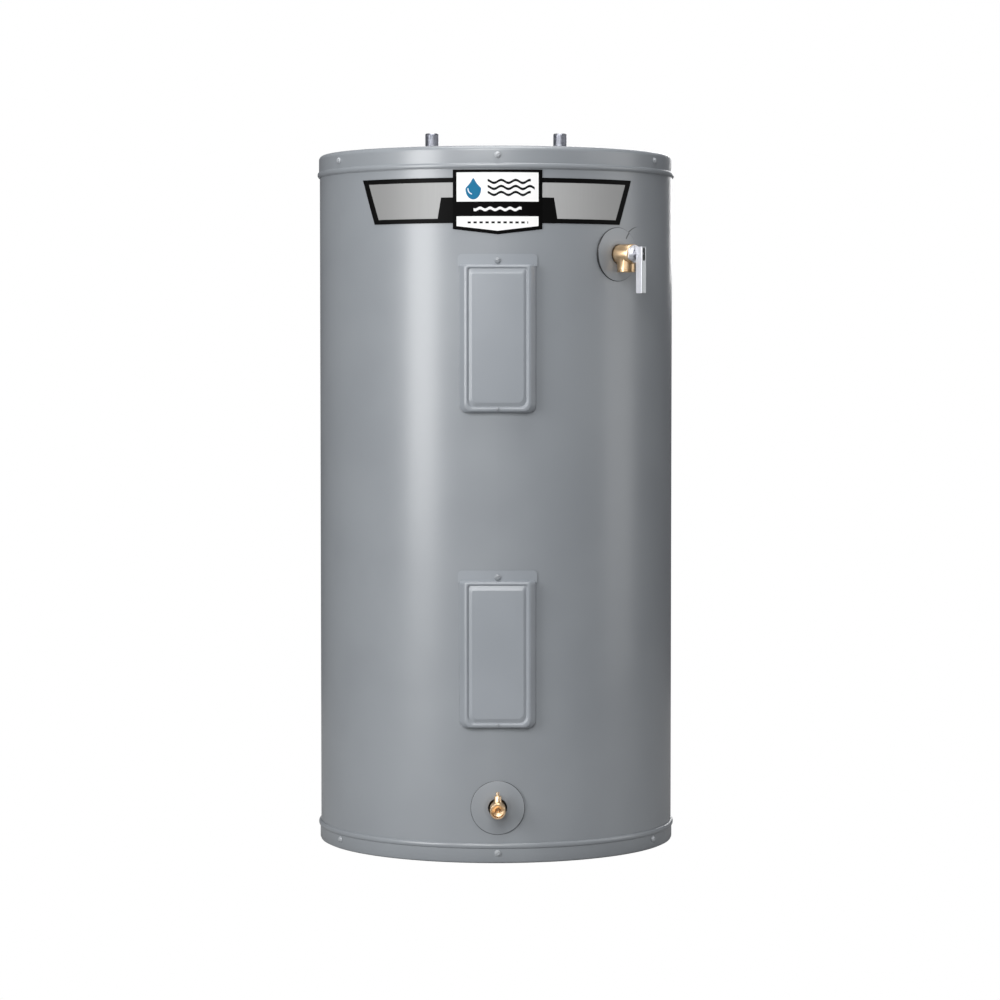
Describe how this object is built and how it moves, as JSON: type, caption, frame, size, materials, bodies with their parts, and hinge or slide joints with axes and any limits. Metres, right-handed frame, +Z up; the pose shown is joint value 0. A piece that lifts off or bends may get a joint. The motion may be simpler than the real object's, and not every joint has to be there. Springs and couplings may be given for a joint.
{
  "type": "storage water heater",
  "caption": "Upright electric tank water heater with a cylindrical grey jacket, removable access covers, pipe nipples on the lid, a lever relief valve and a brass drain valve.",
  "frame": {"origin": "on the floor, on the tank's axis, in the middle of the base pan's flat bottom", "axes": "+Z up along the tank's axis, -Y out through the middle of the access covers, +X towards the cold pipe nipple"},
  "size_m": [0.566, 0.6084, 1.121],
  "materials": {
    "grey_paint": "semi-gloss grey enamel",
    "steel": "plain zinc-plated steel",
    "tank_steel": "dark primed steel",
    "brass": "turned brass",
    "bright_zinc": "bright zinc",
    "grey_plastic": "grey moulded collar",
    "black_plastic": "black phenolic",
    "red_plastic": "red button",
    "white_plastic": "white plastic",
    "rubber": "black rubber",
    "foam": "rigid polyurethane foam",
    "pad": "white fibre and foam",
    "anode_alloy": "cast magnesium alloy",
    "label": "printed film"
  },
  "bodies": {
    "heater": {"anode_cap": "steel", "anode_rod": "anode_alloy", "base_pan": "grey_paint", "base_screw_1": "grey_paint", "base_screw_2": "grey_paint", "base_screw_3": "grey_paint", "base_screw_4": "grey_paint", "base_screw_5": "grey_paint", "base_screw_6": "grey_paint", "cold_nipple": "steel", "dip_tube": "white_plastic", "drain_escutcheon": "grey_plastic", "drain_valve_body": "brass", "foam_insulation": "foam", "front_label": "label", "hot_nipple": "steel", "jacket": "grey_paint", "junction_box": "steel", "lid_screw_1": "grey_paint", "lid_screw_2": "grey_paint", "lid_screw_3": "grey_paint", "lid_screw_4": "grey_paint", "lid_screw_5": "grey_paint", "lid_screw_6": "grey_paint", "lower_element": "steel", "lower_element_gasket": "rubber", "lower_foam_dam": "pad", "lower_harness": "rubber", "lower_thermostat": "black_plastic", "lower_thermostat_clip": "steel", "supply_harness": "rubber", "tank_bottom_head": "tank_steel", "tank_shell": "tank_steel", "tank_top_head": "tank_steel", "top_lid": "grey_paint", "tp_escutcheon": "grey_plastic", "tp_valve_body": "brass", "tp_valve_cap": "bright_zinc", "tp_valve_spring": "steel", "upper_element": "steel", "upper_element_gasket": "rubber", "upper_foam_dam": "pad", "upper_thermostat": "black_plastic", "upper_thermostat_clip": "steel"},
    "upper_cover": {"upper_access_cover": "grey_paint", "upper_insulation_pad": "pad", "upper_cover_top_screw": "grey_paint", "upper_cover_bottom_screw": "grey_paint"},
    "lower_cover": {"lower_access_cover": "grey_paint", "lower_insulation_pad": "pad", "lower_cover_top_screw": "grey_paint", "lower_cover_bottom_screw": "grey_paint"},
    "box_cover": {"junction_cover": "grey_paint", "junction_cover_screw": "grey_paint"},
    "relief_stem": {"tp_valve_stem": "bright_zinc"},
    "relief_lever": {"tp_valve_lever": "bright_zinc"},
    "drain_plug": {"drain_valve_stem": "brass"},
    "reset": {"reset_button": "red_plastic"},
    "upper_setting": {"upper_dial": "white_plastic"},
    "lower_setting": {"lower_dial": "white_plastic"}
  },
  "joints": [
    {"name": "upper_cover_off", "type": "slide", "parent": "heater", "child": "upper_cover", "axis": [0, -1, 0], "range_m": [0, 0.12]},
    {"name": "lower_cover_off", "type": "slide", "parent": "heater", "child": "lower_cover", "axis": [0, -1, 0], "range_m": [0, 0.12]},
    {"name": "box_cover_off", "type": "slide", "parent": "heater", "child": "box_cover", "axis": [0, 0, 1], "range_m": [0, 0.05]},
    {"name": "relief_stem_lift", "type": "slide", "parent": "heater", "child": "relief_stem", "axis": [0.6561, -0.7547, 0], "range_m": [0, 0.006], "deforming": ["tp_valve_spring"]},
    {"name": "relief_lever_turn", "type": "hinge", "parent": "relief_stem", "child": "relief_lever", "pos_m": [0.21709, -0.24973, 0.923], "axis": [-0.7547, -0.6561, 0], "range_deg": [0, 80], "stiffness_Nm_per_rad": 0.02, "springref_deg": -5.73},
    {"name": "drain_turn", "type": "hinge", "parent": "heater", "child": "drain_plug", "pos_m": [0, -0.3014, 0.085], "axis": [0, 0, 1], "range_deg": [0, 90]},
    {"name": "reset_press", "type": "slide", "parent": "heater", "child": "reset", "axis": [0, 1, 0], "range_m": [0, 0.002], "stiffness_N_per_m": 100, "springref_m": -0.001},
    {"name": "upper_dial_turn", "type": "hinge", "parent": "heater", "child": "upper_setting", "pos_m": [0, -0.2521, 0.80154], "axis": [0, -1, 0], "range_deg": [-120, 120]},
    {"name": "lower_dial_turn", "type": "hinge", "parent": "heater", "child": "lower_setting", "pos_m": [0, -0.2521, 0.31782], "axis": [0, -1, 0], "range_deg": [-120, 120]}
  ],
  "couplings": [
    {"joint": "relief_stem_lift", "follows": "relief_lever_turn", "m_per_rad": 0.00429}
  ]
}
